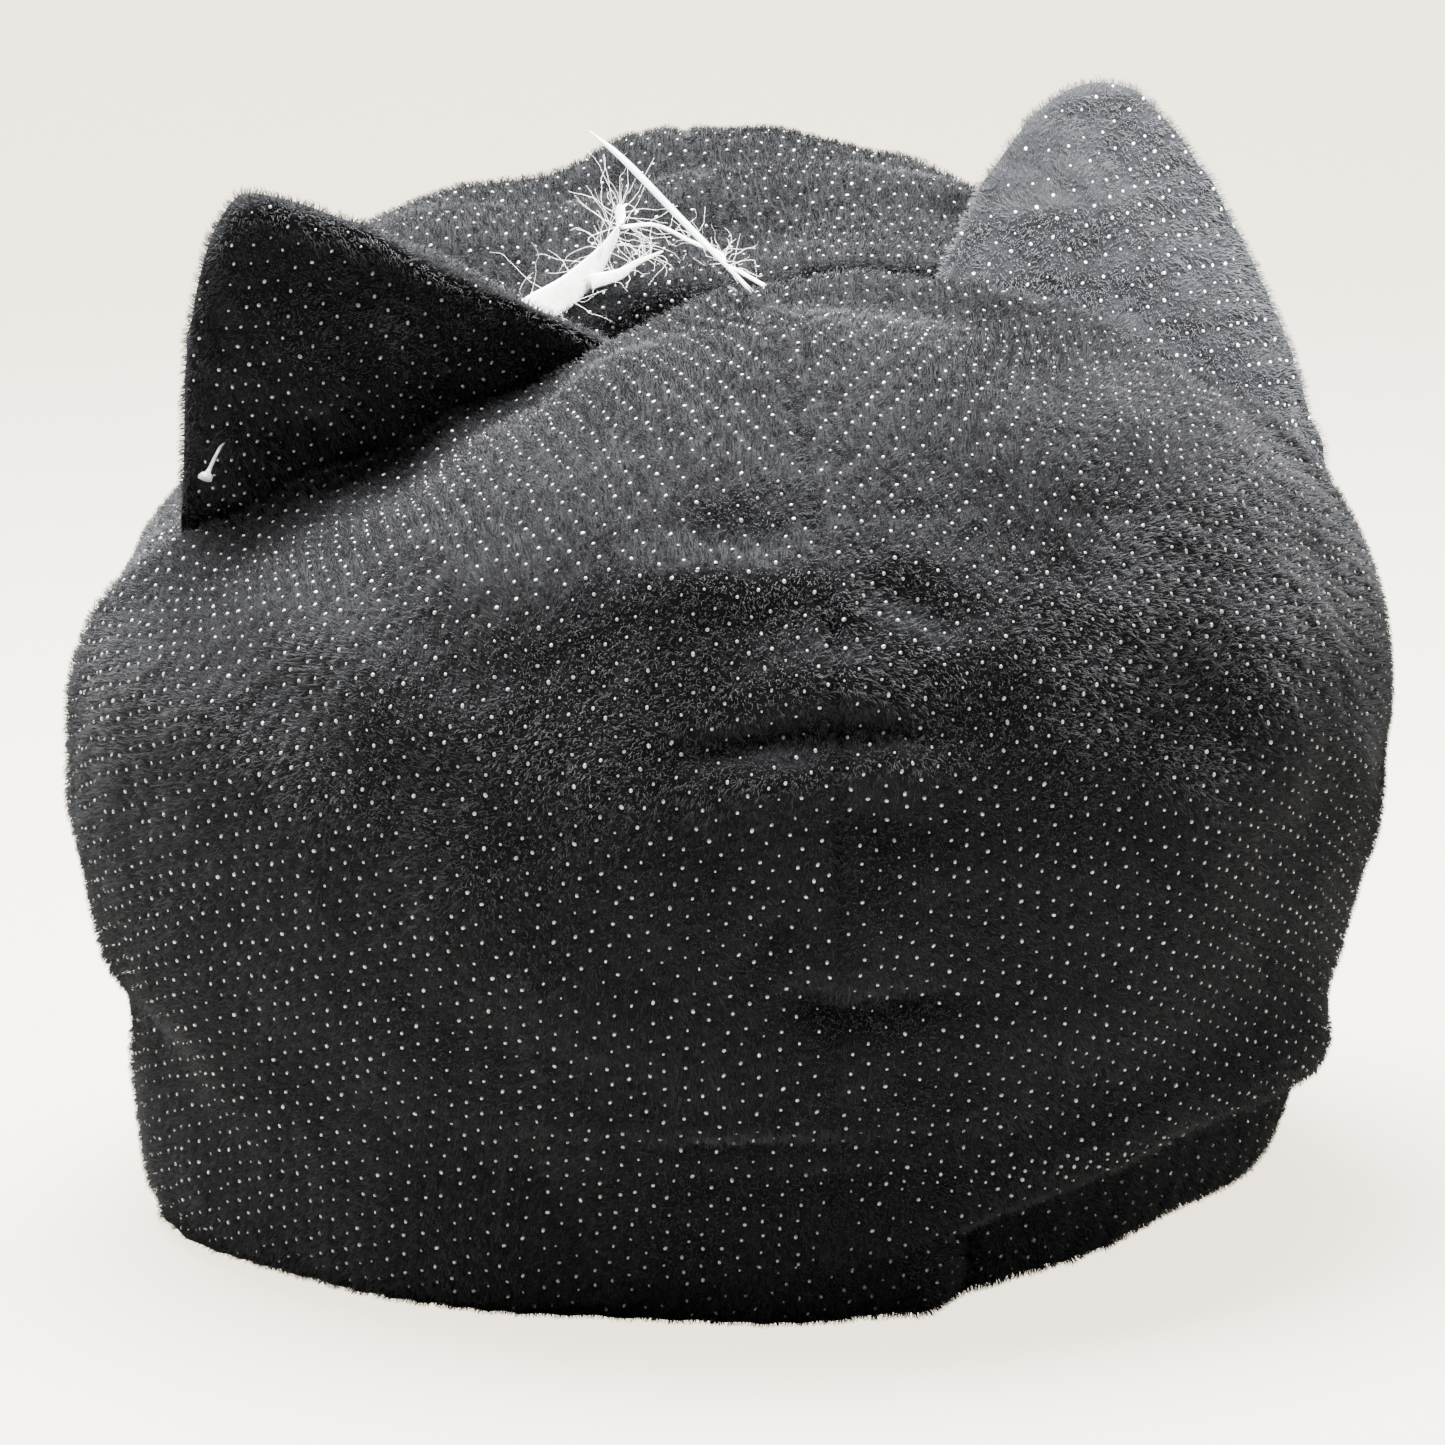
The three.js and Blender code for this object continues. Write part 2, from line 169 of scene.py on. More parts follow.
def head_form(angle, rise):
    reach = np.where(np.cos(angle) > 0, FRONT_REACH, BACK_REACH)
    exponent = 2 / (SIDE_SQUARENESS - SQUARENESS_SPREAD * np.cos(angle))
    share = rise / WIDEST_RISE
    climb = np.clip((rise - WIDEST_RISE) / (1 - WIDEST_RISE), 0, 1) * SIDE
    swell = BACK_SWELL * np.clip(-np.cos(angle), 0, 1) * np.sin(np.pi * (climb / SIDE) ** SWELL_POWER)
    low_spread = 1 - HEM_TUCK * np.abs(1 - share) ** TUCK_POWER
    low_height = PANEL_FOOT + (WIDEST_HEIGHT - PANEL_FOOT) * share
    high_spread = np.clip(np.cos(climb), 0, 1) ** exponent
    high_height = WIDEST_HEIGHT + (SEAM_TOP - WIDEST_HEIGHT) * np.sin(climb) ** exponent + swell
    low = rise < WIDEST_RISE
    spread = np.where(low, low_spread, high_spread)
    past_seam = np.arctan2(np.sin(angle), np.cos(angle)) + SIDE
    nearness = hump(past_seam, np.where(past_seam < 0, SAG_BACK_SPREAD, SAG_FRONT_SPREAD))
    sag = LEFT_SAG * nearness * np.sin(np.pi * (climb / SIDE) ** SAG_POWER)
    height = np.where(low, low_height, high_height - sag)
    middle = SEAM_FOOT_Y - SEAM_LEAN * smoothstep(rise, 0, 1)
    x = HALF_WIDTH * spread * np.sin(angle)
    y = middle - reach * spread * np.cos(angle)
    return np.stack([x, y, height], axis=-1)


def normals_of(surface, a, b, step=1e-3):
    across = surface(a + step, b) - surface(a - step, b)
    upwards = surface(a, b + step) - surface(a, b - step)
    return unit(np.cross(across, upwards))


def behind_seam(angle, rise):
    """How far a point lies behind the crown seam, in mm."""
    reach = np.where(np.cos(angle) > 0, FRONT_REACH, BACK_REACH)
    exponent = 2 / (SIDE_SQUARENESS - SQUARENESS_SPREAD * np.cos(angle))
    climb = np.clip((rise - WIDEST_RISE) / (1 - WIDEST_RISE), 0, 1) * SIDE
    return -reach * np.clip(np.cos(climb), 0, 1) ** exponent * np.cos(angle)


# The wrinkles of the brow: start, end, half width and height, in the order from the top down.
BROW_WRINKLES = [
    ((-22, 138), (-4, 136), 4.2, -2.2),
    ((5, 127), (25, 123), 3.8, -2.2),
    ((-34, 129), (-3, 131), 4.6, 2.6),
    ((-3, 131), (15, 119), 4.2, 1.8),
    ((-14, 114), (12, 115), 5.5, 2.0),
    ((-22, 104), (-3, 107), 2.2, -2.6),
    ((-1, 107), (14, 104.5), 2.0, -2.2),
    ((-16, 99), (12, 100), 5.0, 3.4),
    ((2, 92), (14, 88), 4.0, -1.6),
    ((-14, 72), (-8, 69), 6.5, -3.0),
    ((2, 77), (10, 67), 6.5, 3.4),
    ((-9, 61), (3, 57), 3.6, -4.0),
    ((3, 57), (21, 58), 3.2, -3.6),
    ((-36, 38), (14, 37), 3.0, 1.4),
    ((-38, 34), (14, 33), 2.0, -1.9),
    ((-34, 28), (14, 27), 2.0, -1.5),
]

# The low fold on the right overhangs the hem; elsewhere the panels are pulled down over the hem.
LOW_FOLD_ANGLES = np.radians([-24, 0, 10, 24, 34, 52, 77, 95])
LOW_FOLD_HEIGHTS = [2, 10, 14.5, 20.5, 25.5, 26, 24.5, 24]
DRAPE_ANGLES = np.radians([-90, -24, 0, 10, 98, 125, 270])
DRAPE_EDGES = [3, 3, 10, PANEL_FOOT, PANEL_FOOT, 3, 3]
DRAPE_START = 27


def fold_height(angle):
    return np.interp(angle, LOW_FOLD_ANGLES, LOW_FOLD_HEIGHTS)


def fold_strength(angle):
    return smoothstep(angle, LOW_FOLD_ANGLES[0], 0.1) * (1 - smoothstep(angle, 1.3, 1.75))


def drape_edge(angle):
    return np.interp(np.mod(angle + SIDE, 4 * SIDE) - SIDE, DRAPE_ANGLES, DRAPE_EDGES)


def pulled_down(points, normals, angle):
    """The lowest part of the panels hangs over the hem and turns in at its edge."""
    edge = drape_edge(angle)
    z = points[..., 2]
    height = DRAPE_START - (DRAPE_START - edge) * (DRAPE_START - z) / (DRAPE_START - PANEL_FOOT)
    height = np.where(z < DRAPE_START, height, z)
    turned_in = 2.2 * hump(height - edge, 3.2) * smoothstep(PANEL_FOOT - edge, 1, 6)
    moved = points - normals * [1, 1, 0] * turned_in[..., None]
    moved[..., 2] = height
    return moved


def relief(p, angle, rise):
    """How far the plush stands out of the head form."""
    z = p[..., 2]
    x = p[..., 0]
    s = behind_seam(angle, rise)
    front = s < 0
    high = smoothstep(rise, 0.42, 0.62)

    # The seam over the crown lies in a valley behind a soft roll of the front panels.
    roll = (3.6 + 1.6 * hump(x - 24, 16) - 5.5 * hump(x - 75, 15)) * hump(s + 9, 6.5)
    valley = -5.5 * hump(s, 3.4) + 2.0 * hump(s - 8, 4.5)
    total = high * (roll + valley) - (1 - high) * 1.6 * hump(s, 3)

    # The centre seams pinch the plush into a narrow groove with a soft lip on each side.
    pinch = 0.8 * hump(x, 1.1) - 0.5 * hump(np.abs(x) - 3, 1.6)
    total = total - pinch * smoothstep(rise, 0.2, 0.35) * smoothstep(np.abs(s), 4, 10)

    on_brow = np.where(front, 1.0, 0.0)
    for start, end, width, height in BROW_WRINKLES:
        total = total + on_brow * stroke(p, start, end, width, height)

    below_fold = fold_height(angle) - z
    overhang = 2.8 * hump(below_fold + 6, 6) - 5.6 * smoothstep(below_fold, -0.8, 1.2)
    total = total + fold_strength(angle) * overhang

    # On the left the hem flares, under a slanting fold.
    flare = hump(angle + 1.45, 0.45) * (1 - smoothstep(z, 24, 44))
    total = total + 2.6 * flare - 2.0 * hump(angle + 1.35, 0.3) * hump(z - 42, 5)

    # The left flank is fuller than the right one.
    total = total + 3.5 * hump(angle + 1.6, 0.6) * hump(z - 100, 34)
    total = total - 5.0 * hump(angle - 1.5, 0.6) * hump(z - 42, 32)

    # The crown behind the seam is full on the left, with a dip beside it.
    behind = high * smoothstep(s, 15, 40)
    total = total + behind * (7.5 * hump(x + 62, 17) - 5 * hump(x + 24, 15) + 1.5 * smoothstep(x, 20, 50))

    # Folds run across the crown behind the seam.
    crown = smoothstep(rise, 0.5, 0.75) * smoothstep(s, 12, 30) * (1 - smoothstep(s, 80, 120))
    folds = np.sin(s / 4.1 + 0.9 * ripple(p, 90, 3)) * (1 + 0.4 * ripple(p, 60, 4))
    total = total + crown * 1.9 * folds

    soft = 0.9 * ripple(p, 70, 1) + 0.45 * ripple(p, 28, 2) + 0.14 * ripple(p, 9, 5)
    return total + soft


# ---- Grids: every sheet is a grid of points on a surface -----------------------------------------


def even_steps(curve, low, high, pitch):
    """Values between low and high whose points on the curve lie a pitch apart."""
    t = np.linspace(low, high, 900)
    length = np.concatenate([[0], np.cumsum(np.linalg.norm(np.diff(curve(t), axis=0), axis=1))])
    count = max(2, int(round(length[-1] / pitch)))
    return np.interp(np.linspace(0, length[-1], count + 1), length, t)


def grid_normals(points, ring=False):
    """Normals of a grid whose columns run to the right and whose rows run up, seen from outside."""
    if ring:
        across = np.roll(points, -1, axis=1) - np.roll(points, 1, axis=1)
    else:
        across = np.gradient(points, axis=1)
    return unit(np.cross(across, np.gradient(points, axis=0)))


def blurred(grid, reach, rounds=2, ring=True):
    """A box blur of a grid, which may close on itself sideways."""
    for _ in range(rounds):
        for axis in (0, 1):
            mode = "wrap" if axis == 1 and ring else "edge"
            pad = [(reach, reach) if k == axis else (0, 0) for k in range(grid.ndim)]
            padded = np.pad(grid, pad, mode=mode)
            total = np.cumsum(padded, axis=axis)
            zero = np.zeros_like(np.take(total, [0], axis=axis))
            total = np.concatenate([zero, total], axis=axis)
            width = 2 * reach + 1
            count = grid.shape[axis]
            high = np.take(total, np.arange(width, width + count), axis=axis)
            low = np.take(total, np.arange(count), axis=axis)
            grid = (high - low) / width
    return grid


def local_minimum(grid, reach):
    lowest = grid
    for axis in (0, 1):
        source = lowest
        for shift in range(-reach, reach + 1):
            moved = np.roll(source, shift, axis=axis)
            if axis == 0 and shift > 0:
                moved[:shift] = source[:1]
            if axis == 0 and shift < 0:
                moved[shift:] = source[-1:]
            lowest = np.minimum(lowest, moved)
    return lowest


def resampled(grid, rows, columns):
    row_at = np.linspace(0, grid.shape[0] - 1, rows)
    column_at = np.linspace(0, grid.shape[1] - 1, columns)
    r, c = np.meshgrid(row_at, column_at, indexing="ij")
    return bilinear(grid, c.ravel(), r.ravel()).reshape(rows, columns, 3)


def bilinear(grid, column, row):
    rows, columns = grid.shape[:2]
    c = np.clip(column, 0, columns - 1.001)
    r = np.clip(row, 0, rows - 1.001)
    c0, r0 = c.astype(int), r.astype(int)
    fc, fr = (c - c0)[:, None], (r - r0)[:, None]
    low = grid[r0, c0] * (1 - fc) + grid[r0, c0 + 1] * fc
    high = grid[r0 + 1, c0] * (1 - fc) + grid[r0 + 1, c0 + 1] * fc
    return low * (1 - fr) + high * fr


class Patch:
    """A grid of points with its normals."""

    def __init__(self, points, normals=None):
        self.points = points
        self.normals = grid_normals(points) if normals is None else normals

    def part(self, rows, columns):
        return Patch(self.points[rows, columns], self.normals[rows, columns])

    def under(self, depth):
        return self.points - self.normals * depth

    def sample(self, column, row):
        """Points and normals at fractional columns and rows."""
        return bilinear(self.points, column, row), unit(bilinear(self.normals, column, row))

    def cell_areas(self):
        p = self.points
        d1, d2 = p[1:, 1:] - p[:-1, :-1], p[1:, :-1] - p[:-1, 1:]
        return np.linalg.norm(np.cross(d1, d2), axis=-1) / 2

    def area(self):
        """In square metres."""
        return float(self.cell_areas().sum()) * MM * MM


def make_object(name, points, faces, material, smooth=True):
    mesh = bpy.data.meshes.new(name)
    mesh.from_pydata((np.asarray(points).reshape(-1, 3) * MM).tolist(), [], faces)
    mesh.polygons.foreach_set("use_smooth", [smooth] * len(mesh.polygons))
    mesh.materials.append(material)
    mesh.update()
    made = bpy.data.objects.new(name, mesh)
    bpy.context.scene.collection.objects.link(made)
    return made


def grid_faces(rows, columns, start=0, flip=False):
    r, c = np.meshgrid(np.arange(rows - 1), np.arange(columns - 1), indexing="ij")
    a = (start + r * columns + c).ravel()
    quads = np.stack([a, a + 1, a + columns + 1, a + columns], axis=1)
    return (quads[:, ::-1] if flip else quads).tolist()


def sheet_mesh(name, outer, inner, material):
    """A closed sheet between two grids of the same size."""
    rows, columns = outer.shape[:2]
    count = rows * columns
    faces = grid_faces(rows, columns) + grid_faces(rows, columns, count, flip=True)
    index = np.arange(count).reshape(rows, columns)
    rim = np.concatenate([index[0], index[1:, -1], index[-1, -2::-1], index[-2:0:-1, 0]])
    for i, j in zip(rim.tolist(), np.roll(rim, -1).tolist()):
        faces.append([j, i, i + count, j + count])
    points = np.concatenate([outer.reshape(-1, 3), inner.reshape(-1, 3)])
    return make_object(name, points, faces, material)


def tube_parts(route, radii, sides=8, flatten=1.0, across=None, ring=False):
    """Points and faces of a round or flattened strand, closed at its ends unless it is a ring."""
    route = np.asarray(route, float)
    radii = np.broadcast_to(np.asarray(radii, float), len(route))
    if ring:
        along = unit(np.roll(route, -1, axis=0) - np.roll(route, 1, axis=0))
    else:
        along = unit(np.gradient(route, axis=0))
    guide = np.array([0.0, 0.0, 1.0]) if across is None else np.asarray(across, float)
    sideways = np.broadcast_to(guide, along.shape)
    sideways = unit(sideways - along * (sideways * along).sum(-1, keepdims=True))
    outwards = np.cross(along, sideways)
    turn = np.arange(sides) * 2 * np.pi / sides
    offsets = (
        np.cos(turn)[None, :, None] * sideways[:, None]
        + flatten * np.sin(turn)[None, :, None] * outwards[:, None]
    )
    points = (route[:, None] + offsets * radii[:, None, None]).reshape(-1, 3)
    faces = []
    stations = len(route)
    for k in range(stations if ring else stations - 1):
        low, high = k * sides, ((k + 1) % stations) * sides
        for i in range(sides):
            j = (i + 1) % sides
            faces.append([low + i, low + j, high + j, high + i])
    if not ring:
        faces.append(list(range(sides))[::-1])
        faces.append([(stations - 1) * sides + i for i in range(sides)])
    return points, faces


def tube_mesh(name, route, radii, material, **shape):
    return make_object(name, *tube_parts(route, radii, **shape), material)


def strands_mesh(name, parts, material):
    """Several strands in one mesh."""
    points, faces = [], []
    count = 0
    for strand_points, strand_faces in parts:
        points.append(strand_points)
        faces += [[count + i for i in face] for face in strand_faces]
        count += len(strand_points)
    return make_object(name, np.concatenate(points), faces, material)


def settle(piece, body, stands_for=None):
    """Hides the CAD solid that a piece stands for, if any, and makes the piece ride on a body."""
    if stands_for:
        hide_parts(stands_for)
    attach(piece, body)


def smooth_route(points, steps):
    """A Catmull-Rom curve through the points."""
    p = np.asarray(points, float)
    p = np.concatenate([[2 * p[0] - p[1]], p, [2 * p[-1] - p[-2]]])
    t = np.linspace(0, len(p) - 3 - 1e-6, steps)
    k = t.astype(int)
    f = (t - k)[:, None]
    a, b, c, d = p[k], p[k + 1], p[k + 2], p[k + 3]
    return 0.5 * (2 * b + (c - a) * f + (2 * a - 5 * b + 4 * c - d) * f**2 + (3 * b - a - 3 * c + d) * f**3)


# ---- Dots and pile -------------------------------------------------------------------------------

NOWHERE = np.zeros((0, 2))


def dot_places(patch, tilt, seed, margin=1.2):
    """Columns and rows of a staggered lattice of dots, laid on the cloth at its true spacing."""
    rng = np.random.default_rng(seed)
    p = patch.points
    rows, columns = p.shape[:2]
    step_u = np.linalg.norm(np.diff(p, axis=1), axis=-1)
    u = np.concatenate([np.zeros((rows, 1)), np.cumsum(step_u, axis=1)], axis=1)
    u = u - u[:, -1:] / 2
    middle = p[:, columns // 2]
    v = np.concatenate([[0], np.cumsum(np.linalg.norm(np.diff(middle, axis=0), axis=-1))])
    size = u.max() + v[-1]
    pitch = DOT_SPACING * np.sqrt(3) / 2
    reach_a, reach_b = int(size / DOT_SPACING), int(size / pitch)
    i, j = np.meshgrid(np.arange(-reach_a, reach_a + 1), np.arange(-reach_b, reach_b + 1))
    a = (i + 0.5 * (j % 2)) * DOT_SPACING
    b = j * pitch
    turned = [a * np.cos(tilt) - b * np.sin(tilt), a * np.sin(tilt) + b * np.cos(tilt)]
    lattice = np.stack(turned, axis=-1).reshape(-1, 2)
    lattice = lattice + rng.normal(scale=DOT_JITTER, size=lattice.shape)
    lattice = lattice[(lattice[:, 1] > margin) & (lattice[:, 1] < v[-1] - margin)]
    row = np.interp(lattice[:, 1], v, np.arange(rows))
    found = []
    for (along, _), r in zip(lattice, row):
        low = min(int(r), rows - 2)
        line = u[low] + (u[low + 1] - u[low]) * (r - low)
        if line[0] + margin < along < line[-1] - margin:
            found.append((np.interp(along, line, np.arange(columns)), r))
    return np.array(found) if found else NOWHERE


def dots_mesh(name, patch, places, seed):
    """Small raised beads, a little flattened, one for each place."""
    rng = np.random.default_rng(seed)
    sides = 8
    turn = np.arange(sides) * 2 * np.pi / sides
    bead = [[0, 0, -1]]
    for radius, height in ((0.86, -0.5), (0.86, 0.5)):
        bead += [[radius * np.cos(t), radius * np.sin(t), height] for t in turn]
    bead = np.array(bead + [[0, 0, 1]]) * [DOT_RADIUS, DOT_RADIUS, DOT_HEIGHT]
    top = 2 * sides + 1
    pattern = []
    for k in range(sides):
        low, high = 1 + k, 1 + sides + k
        next_low = 1 + (k + 1) % sides
        next_high = next_low + sides
        pattern += [[0, next_low, low], [low, next_low, next_high, high], [high, next_high, top]]
    p, n = patch.sample(places[:, 0], places[:, 1])
    t = unit(np.cross(n, [0.3, 0.2, 1.0]))
    b = np.cross(n, t)
    n = unit(n + rng.normal(scale=0.45, size=n.shape))
    local = bead[None] * rng.uniform(0.65, 1.2, size=(len(p), 1, 1)) * [1, 1.15, 1]
    points = (p + n * DOT_LIFT)[:, None] + local[..., :1] * t[:, None]
    points = points + local[..., 1:2] * b[:, None] + local[..., 2:] * n[:, None]
    faces = [[len(bead) * k + i for i in face] for k in range(len(p)) for face in pattern]
    return make_object(name, points, faces, SILVER)


def add_pile(name, patch, places, body, seed, droop=(0, 0, -1)):
    """Short fibres on a patch. They leave a pit round each dot. Only renders show them."""
    rng = np.random.default_rng(seed)
    columns = patch.points.shape[1]
    areas = patch.cell_areas()
    cell = np.repeat(np.arange(areas.size), rng.poisson(areas.ravel() * PILE_DENSITY))
    row = cell // (columns - 1) + rng.random(len(cell))
    column = cell % (columns - 1) + rng.random(len(cell))
    p, n = patch.sample(column, row)
    swirls = np.stack([ripple(p, NAP_WAVELENGTH, seed + k) for k in (11, 12, 13)], axis=-1)
    nap = 0.6 * np.array(droop, float) + 0.8 * swirls
    nap = nap + rng.normal(scale=1.1, size=p.shape)
    nap = unit(nap - n * (nap * n).sum(-1, keepdims=True))
    tall = PILE_LENGTH * rng.uniform(0.5, 1.2, size=len(p))
    if len(places):
        spots, _ = patch.sample(places[:, 0], places[:, 1])
        tree = KDTree(len(spots))
        for i, spot in enumerate(spots):
            tree.insert(spot, i)
        tree.balance()
        near = np.array([tree.find(q)[2] for q in p])
        tall = tall * (0.3 + 0.7 * smoothstep(near, 0.5, 1.35))
        keep = near > 0.58
        p, n, nap, tall = p[keep], n[keep], nap[keep], tall[keep]
    tall = tall[:, None]
    root = p - n * 0.05
    middle = p + n * tall * 0.55 + nap * tall * 0.15
    tip = p + n * tall * 0.85 + nap * tall * 0.45
    points = np.stack([root, middle, tip], axis=1).reshape(-1, 3) * MM
    hair = bpy.data.hair_curves.new(name)
    hair.add_curves([3] * len(p))
    hair.attributes["position"].data.foreach_set("vector", points.astype(np.float32).ravel())
    radii = np.tile([1.0, 0.8, 0.25], len(p)) * PILE_RADIUS * MM
    hair.attributes.new("radius", "FLOAT", "POINT").data.foreach_set("value", radii.astype(np.float32))
    hair.materials.append(PILE)
    made = bpy.data.objects.new(name, hair)
    bpy.context.scene.collection.objects.link(made)
    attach(made, body)
    return made


# ---- Materials -----------------------------------------------------------------------------------


def finish_of(name, colour, roughness, **extra):
    made = bpy.data.materials.new(name)
    made.use_nodes = True
    shader = made.node_tree.nodes["Principled BSDF"]
    shader.inputs["Base Color"].default_value = (*colour, 1)
    shader.inputs["Roughness"].default_value = roughness
    for socket, value in extra.items():
        shader.inputs[socket.replace("_", " ")].default_value = value
    return made


def add_node(made, kind, **values):
    node = made.node_tree.nodes.new(kind)
    for key, value in values.items():
        if key in node.inputs:
            node.inputs[key].default_value = value
        else:
            setattr(node, key, value)
    return node


def mottle(made, scale, low, high, detail=4):
    """The colour varies between two shades with a noise."""
    links = made.node_tree.links
    place = add_node(made, "ShaderNodeTexCoord")
    noise = add_node(made, "ShaderNodeTexNoise", Scale=scale, Detail=detail)
    ramp = add_node(made, "ShaderNodeValToRGB")
    ramp.color_ramp.elements[0].position = 0.35
    ramp.color_ramp.elements[0].color = (*low, 1)
    ramp.color_ramp.elements[1].position = 0.68
    ramp.color_ramp.elements[1].color = (*high, 1)
    links.new(place.outputs["Object"], noise.inputs["Vector"])
    links.new(noise.outputs["Fac"], ramp.inputs["Fac"])
    links.new(ramp.outputs["Color"], made.node_tree.nodes["Principled BSDF"].inputs["Base Color"])


def add_bump(made, scale, distance, kind="ShaderNodeTexNoise", output="Fac", strength=0.8):
    links = made.node_tree.links
    place = add_node(made, "ShaderNodeTexCoord")
    texture = add_node(made, kind, Scale=scale)
    bump = add_node(made, "ShaderNodeBump", Strength=strength, Distance=distance * MM)
    links.new(place.outputs["Object"], texture.inputs["Vector"])
    links.new(texture.outputs[output], bump.inputs["Height"])
    links.new(bump.outputs["Normal"], made.node_tree.nodes["Principled BSDF"].inputs["Normal"])


CLOTH = finish_of("plush_ground", (0.006, 0.006, 0.008), 0.9, Specular_IOR_Level=0.2)
mottle(CLOTH, 260, (0.004, 0.004, 0.005), (0.009, 0.0095, 0.012))
add_bump(CLOTH, 1500, 0.35)

PILE = finish_of("plush_pile", (0.05, 0.052, 0.06), 0.55, Specular_IOR_Level=0.35, Sheen_Weight=0.2)
mottle(PILE, 900, (0.013, 0.014, 0.016), (0.052, 0.055, 0.062))

SILVER = finish_of("silver_dots", (0.9, 0.89, 0.84), 0.32, Metallic=0.6)
add_bump(SILVER, 2500, 0.05)

LINING = finish_of("lining_knit", (0.03, 0.03, 0.034), 0.8, Sheen_Weight=0.4)
mottle(LINING, 500, (0.022, 0.022, 0.026), (0.05, 0.05, 0.056))
add_bump(LINING, 700, 0.25, "ShaderNodeTexWave")

FIBRE = finish_of("wadding_fibre", (0.82, 0.82, 0.8), 0.95, Sheen_Weight=0.3)
add_bump(FIBRE, 420, 1.2)

RIBBED = finish_of("elastic_ribs", (0.8, 0.8, 0.77), 0.7)
add_bump(RIBBED, 420, 0.3, "ShaderNodeTexWave")

YARN = finish_of("twisted_thread", (0.04, 0.04, 0.045), 0.6, Sheen_Weight=0.3)
add_bump(YARN, 900, 0.15, "ShaderNodeTexWave")

NYLON = finish_of(
    "milky_nylon", (0.86, 0.88, 0.87), 0.22, Transmission_Weight=0.45, IOR=1.5, Subsurface_Weight=0.3
)

SATIN = finish_of("satin_ribbon", (0.86, 0.87, 0.82), 0.45, Sheen_Weight=0.3)
mottle(SATIN, 300, (0.74, 0.76, 0.7), (0.9, 0.91, 0.87))
add_bump(SATIN, 1400, 0.12, "ShaderNodeTexWave")


# ---- Camera and light ----------------------------------------------------------------------------

TARGET = np.array([0.0, -2.0, 95.0])
VIEW_AZIMUTH, VIEW_ELEVATION, VIEW_ROLL = np.radians([-8.4, 9.9, 1.4])
VIEW_DISTANCE = 1000.0
LENS = 135.0
AIM_SHIFT = (-1.25, -8.7)  # right of and above the target


def add_camera():
    a, e = VIEW_AZIMUTH, VIEW_ELEVATION
    away = np.array([np.sin(a) * np.cos(e), -np.cos(a) * np.cos(e), np.sin(e)])
    right = np.array([np.cos(a), np.sin(a), 0.0])
    up = np.cross(away, right)
    aim = TARGET + right * AIM_SHIFT[0] + up * AIM_SHIFT[1]
    place = TARGET + away * VIEW_DISTANCE
    data = bpy.data.cameras.new("camera")
    data.lens = LENS
    data.clip_start = 0.05
    made = bpy.data.objects.new("camera", data)
    bpy.context.scene.collection.objects.link(made)
    facing = Vector(aim - place).to_track_quat("-Z", "Y")
    made.rotation_mode = "QUATERNION"
    made.rotation_quaternion = facing @ Vector((0, 0, 1)).rotation_difference(Vector((0, 0, 1)))
    made.rotation_quaternion.rotate(Quaternion(Vector(aim - place).normalized(), VIEW_ROLL))
    made.location = Vector(place * MM)
    bpy.context.scene.camera = made


def add_softbox(name, at, towards, size, power):
    data = bpy.data.lights.new(name, "AREA")
    data.shape = "RECTANGLE"
    data.size, data.size_y = size
    data.energy = power
    made = bpy.data.objects.new(name, data)
    bpy.context.scene.collection.objects.link(made)
    made.location = at
    made.rotation_mode = "QUATERNION"
    made.rotation_quaternion = (Vector(towards) - Vector(at)).to_track_quat("-Z", "Y")
    return made


BACKDROP_COLOUR = (0.3, 0.285, 0.26)
BACKDROP_GLOW = 3.3


def light_only(source, pieces):
    """Keeps a source's light for the given objects."""
    lit = bpy.data.collections.new("lit_by_" + source.name)
    for piece in pieces:
        lit.objects.link(piece)
    source.light_linking.receiver_collection = lit


def add_studio():
    sweep_radius = 0.7
    profile = [(-2.5, 0.0)]
    profile += [
        (1.6 + sweep_radius * np.sin(t), sweep_radius * (1 - np.cos(t))) for t in np.linspace(0, SIDE, 16)
    ]
    profile += [(1.6 + sweep_radius, 3.0)]
    points = np.array([[x, y, z] for y, z in profile for x in (-3.0, 3.0)]) / MM
    faces = [[2 * k, 2 * k + 1, 2 * k + 3, 2 * k + 2] for k in range(len(profile) - 1)]
    paper = finish_of("paper", BACKDROP_COLOUR, 0.9, Emission_Strength=BACKDROP_GLOW)
    paper.node_tree.nodes["Principled BSDF"].inputs["Emission Color"].default_value = (1, 0.89, 0.7, 1)
    floor = make_object("floor", points, faces, paper)
    light_only(floor, [floor])  # the paper's own glow
    world = bpy.data.worlds.new("studio")
    world.use_nodes = True
    sky = world.node_tree.nodes["Background"]
    sky.inputs["Color"].default_value = (1.0, 0.985, 0.96, 1)
    sky.inputs["Strength"].default_value = 0.045
    bpy.context.scene.world = world
    add_softbox("top_light", (-0.08, 0.15, 1.15), (0, -0.02, 0.1), (0.8, 0.6), 175)
    add_softbox("right_light", (0.5, -0.45, 1.0), (0, 0, 0.12), (0.5, 0.5), 2)
    add_softbox("left_light", (-1.0, 0.25, 0.5), (0, 0, 0.1), (0.5, 0.5), 11)


add_camera()
add_studio()

# ---- The dome's layers ---------------------------------------------------------------------------

QUARTER = 150  # columns in each quarter
ALL_ANGLES = np.linspace(-SIDE, 3 * SIDE, 4 * QUARTER + 1)
BACK = np.pi
CROWN = 0.9996
RISES = even_steps(lambda t: head_form(0.6 + 0 * t, t), 0, CROWN, PITCH)


